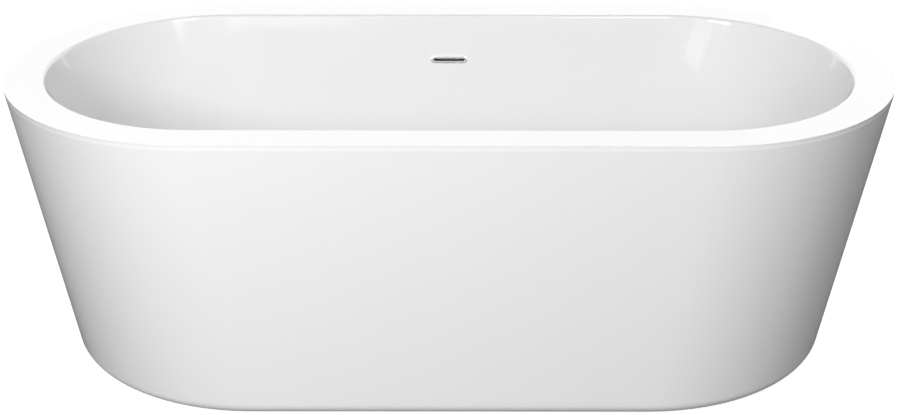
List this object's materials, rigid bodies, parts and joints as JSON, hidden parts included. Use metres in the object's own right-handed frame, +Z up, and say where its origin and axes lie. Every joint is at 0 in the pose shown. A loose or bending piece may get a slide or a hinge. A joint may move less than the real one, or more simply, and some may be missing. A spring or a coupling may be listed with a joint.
{
  "type": "freestanding bathtub",
  "caption": "Freestanding double-ended bath with a flat obround rim, tapered skirt, slot overflow, push-button waste and hidden levelling feet.",
  "frame": {"origin": "on the floor, under the middle of the bath", "axes": "+X along the bath, +Y towards the overflow side, +Z up"},
  "size_m": [1.6966, 0.7976, 0.548],
  "materials": {
    "acrylic": "glossy white cast acrylic",
    "joint_filler": "white joint filler, wiped flush",
    "plywood": "resin-sealed plywood",
    "galvanised_steel": "galvanised square tube",
    "zinc_hardware": "zinc-plated steel",
    "chrome": "polished chrome plate",
    "brass": "plain turned brass",
    "black_rubber": "matt black rubber",
    "grey_plastic": "moulded dark grey plastic",
    "black_plastic": "moulded black plastic",
    "white_plastic": "moulded white plastic"
  },
  "bodies": {
    "bath": {"basin_shell": "acrylic", "outer_skirt": "acrylic", "rim_joint_filler": "joint_filler", "floor_board": "plywood", "rail_front": "galvanised_steel", "rail_rear": "galvanised_steel", "cross_member_left": "galvanised_steel", "cross_member_middle": "galvanised_steel", "cross_member_right": "galvanised_steel", "tube_end_caps": "black_plastic", "weld_nuts": "zinc_hardware", "board_screws": "zinc_hardware", "skirt_bracket_1": "zinc_hardware", "skirt_bracket_2": "zinc_hardware", "skirt_bracket_3": "zinc_hardware", "skirt_bracket_4": "zinc_hardware", "bracket_screws": "zinc_hardware", "flange_screws": "zinc_hardware", "foot_locknut_1": "zinc_hardware", "foot_locknut_2": "zinc_hardware", "foot_locknut_3": "zinc_hardware", "foot_locknut_4": "zinc_hardware", "foot_locknut_5": "zinc_hardware", "waste_flange": "chrome", "waste_gasket_upper": "black_rubber", "waste_gasket_lower": "black_rubber", "waste_washer": "zinc_hardware", "waste_locknut": "brass", "plug_guide": "brass", "waste_tee": "white_plastic", "tail_pipe": "chrome", "tail_slip_nut": "white_plastic", "tail_slip_washer": "black_rubber", "overflow_trim": "chrome", "overflow_gasket": "black_rubber", "overflow_hopper": "white_plastic", "overflow_pipe": "chrome", "overflow_upper_nut": "white_plastic", "overflow_upper_washer": "black_rubber", "overflow_lower_nut": "white_plastic", "overflow_lower_washer": "black_rubber"},
    "plug": {"plug_cap": "chrome", "plug_stem": "brass", "plug_seal": "black_rubber", "plug_spring": "zinc_hardware"},
    "foot_1": {"foot_pad_1": "grey_plastic"},
    "foot_1_screw": {"foot_stem_1": "zinc_hardware"},
    "foot_2": {"foot_pad_2": "grey_plastic"},
    "foot_2_screw": {"foot_stem_2": "zinc_hardware"},
    "foot_3": {"foot_pad_3": "grey_plastic"},
    "foot_3_screw": {"foot_stem_3": "zinc_hardware"},
    "foot_4": {"foot_pad_4": "grey_plastic"},
    "foot_4_screw": {"foot_stem_4": "zinc_hardware"},
    "foot_5": {"foot_pad_5": "grey_plastic"},
    "foot_5_screw": {"foot_stem_5": "zinc_hardware"}
  },
  "joints": [
    {"name": "plug_press", "type": "slide", "parent": "bath", "child": "plug", "axis": [0, 0, 1], "range_m": [-0.009, 0], "stiffness_N_per_m": 800, "springref_m": 0.01, "deforming": ["plug_spring"]},
    {"name": "foot_1_height", "type": "slide", "parent": "bath", "child": "foot_1", "axis": [0, 0, -1], "range_m": [0, 0.015]},
    {"name": "foot_1_turn", "type": "hinge", "parent": "foot_1", "child": "foot_1_screw", "pos_m": [-0.36, -0.27, 0.05], "axis": [0, 0, -1], "range_deg": [0, 3601]},
    {"name": "foot_2_height", "type": "slide", "parent": "bath", "child": "foot_2", "axis": [0, 0, -1], "range_m": [0, 0.015]},
    {"name": "foot_2_turn", "type": "hinge", "parent": "foot_2", "child": "foot_2_screw", "pos_m": [0.36, -0.27, 0.05], "axis": [0, 0, -1], "range_deg": [0, 3601]},
    {"name": "foot_3_height", "type": "slide", "parent": "bath", "child": "foot_3", "axis": [0, 0, -1], "range_m": [0, 0.015]},
    {"name": "foot_3_turn", "type": "hinge", "parent": "foot_3", "child": "foot_3_screw", "pos_m": [0.36, 0.27, 0.05], "axis": [0, 0, -1], "range_deg": [0, 3601]},
    {"name": "foot_4_height", "type": "slide", "parent": "bath", "child": "foot_4", "axis": [0, 0, -1], "range_m": [0, 0.015]},
    {"name": "foot_4_turn", "type": "hinge", "parent": "foot_4", "child": "foot_4_screw", "pos_m": [-0.36, 0.27, 0.05], "axis": [0, 0, -1], "range_deg": [0, 3601]},
    {"name": "foot_5_height", "type": "slide", "parent": "bath", "child": "foot_5", "axis": [0, 0, -1], "range_m": [0, 0.015]},
    {"name": "foot_5_turn", "type": "hinge", "parent": "foot_5", "child": "foot_5_screw", "pos_m": [-0.15, 0, 0.05], "axis": [0, 0, -1], "range_deg": [0, 3601]}
  ],
  "couplings": [
    {"joint": "foot_1_turn", "follows": "foot_1_height", "rad_per_m": 4188.8},
    {"joint": "foot_2_turn", "follows": "foot_2_height", "rad_per_m": 4188.8},
    {"joint": "foot_3_turn", "follows": "foot_3_height", "rad_per_m": 4188.8},
    {"joint": "foot_4_turn", "follows": "foot_4_height", "rad_per_m": 4188.8},
    {"joint": "foot_5_turn", "follows": "foot_5_height", "rad_per_m": 4188.8}
  ]
}
